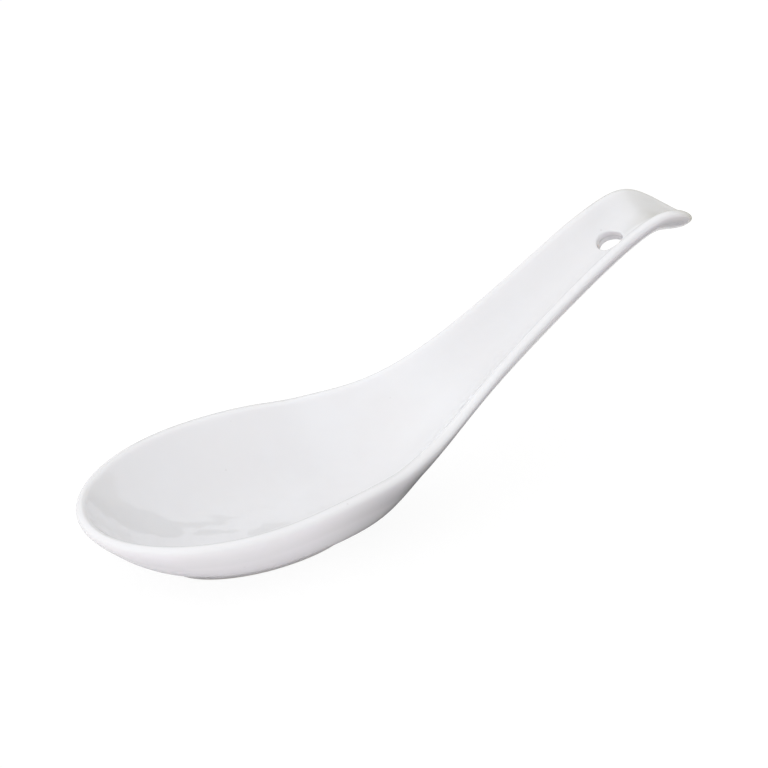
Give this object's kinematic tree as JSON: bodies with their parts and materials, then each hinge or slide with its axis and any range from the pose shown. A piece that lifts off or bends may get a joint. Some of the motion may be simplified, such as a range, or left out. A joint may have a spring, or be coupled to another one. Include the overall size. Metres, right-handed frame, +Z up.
{
  "type": "chinese soup spoon",
  "caption": "Porcelain soup spoon with a deep egg-shaped bowl on a flat foot, a channelled rising handle with a hanging hole and a hooked end.",
  "frame": {"origin": "centre of the flat foot, on the table", "axes": "+X along the spoon from the bowl's tip to the hooked end, +Y across, +Z up"},
  "size_m": [0.1399, 0.048, 0.0489],
  "materials": {
    "glaze": "gloss",
    "bare_porcelain": "matte"
  },
  "bodies": {
    "root": {"bowl": "glaze", "handle": "glaze", "hooked_end": "glaze", "foot": "bare_porcelain"}
  },
  "joints": []
}
